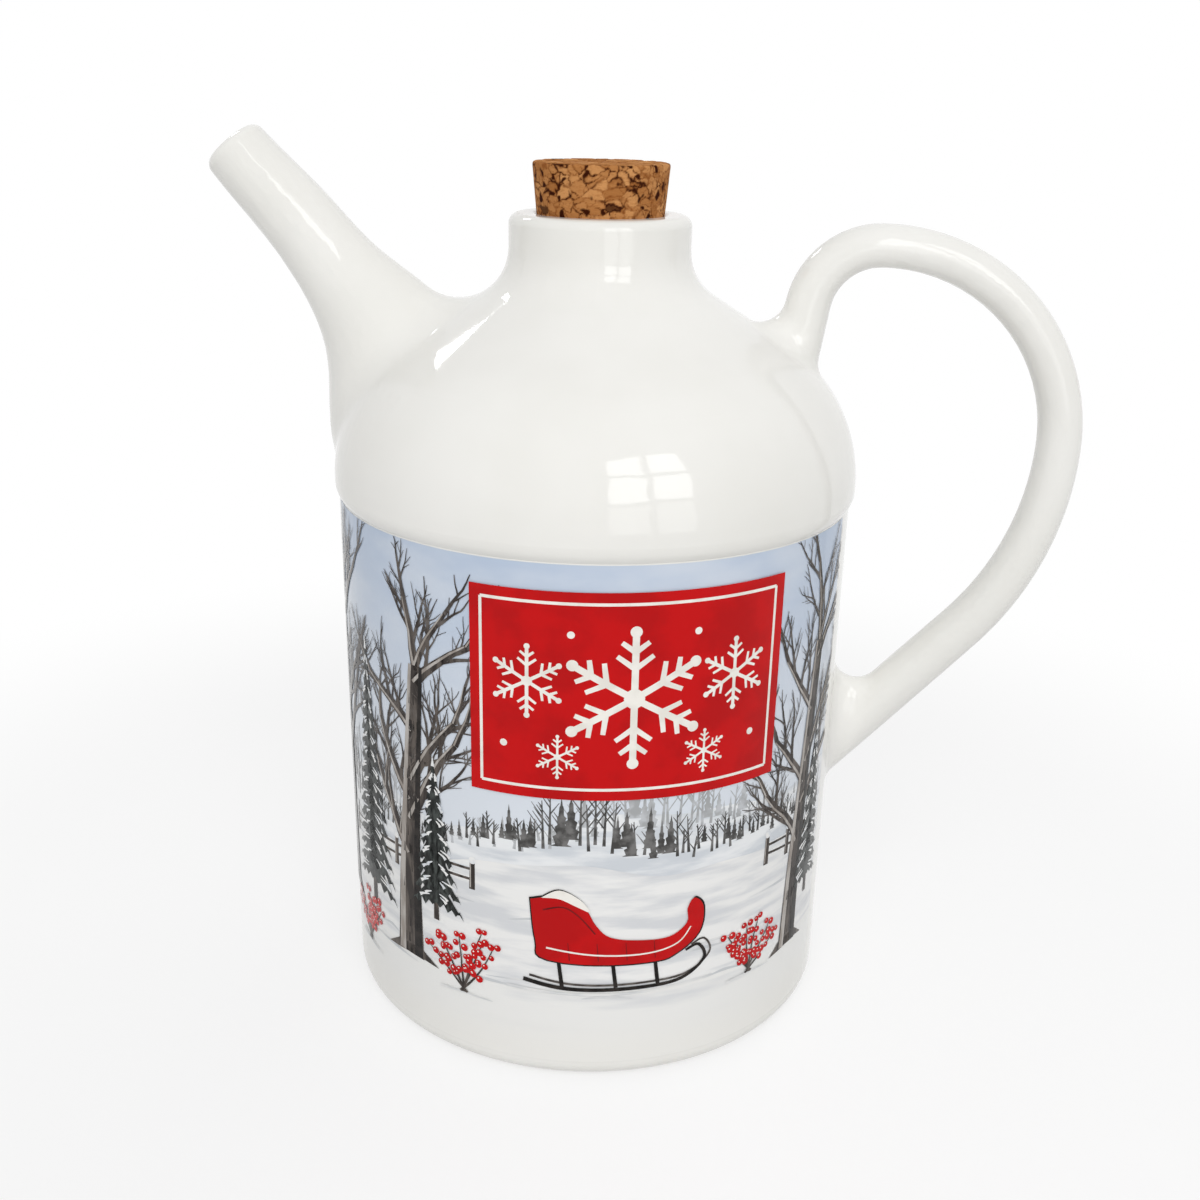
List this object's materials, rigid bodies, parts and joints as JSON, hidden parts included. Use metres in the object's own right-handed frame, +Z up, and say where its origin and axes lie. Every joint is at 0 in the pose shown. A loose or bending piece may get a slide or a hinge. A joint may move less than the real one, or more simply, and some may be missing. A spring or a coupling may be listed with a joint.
{
  "type": "ceramic syrup jug",
  "caption": "Glazed ceramic syrup jug with a straight round body, domed shoulder, short neck with a tapered cork, a rising side spout and a tall loop handle.",
  "frame": {"origin": "centre of the foot, on the surface the jug stands on", "axes": "+Z up along the body's axis, +X towards the handle, -X towards the spout"},
  "size_m": [0.1349, 0.0822, 0.1379],
  "materials": {
    "glaze": "gloss",
    "cork": "matte"
  },
  "bodies": {
    "root": {"jug": "glaze", "cork": "cork"}
  },
  "joints": []
}
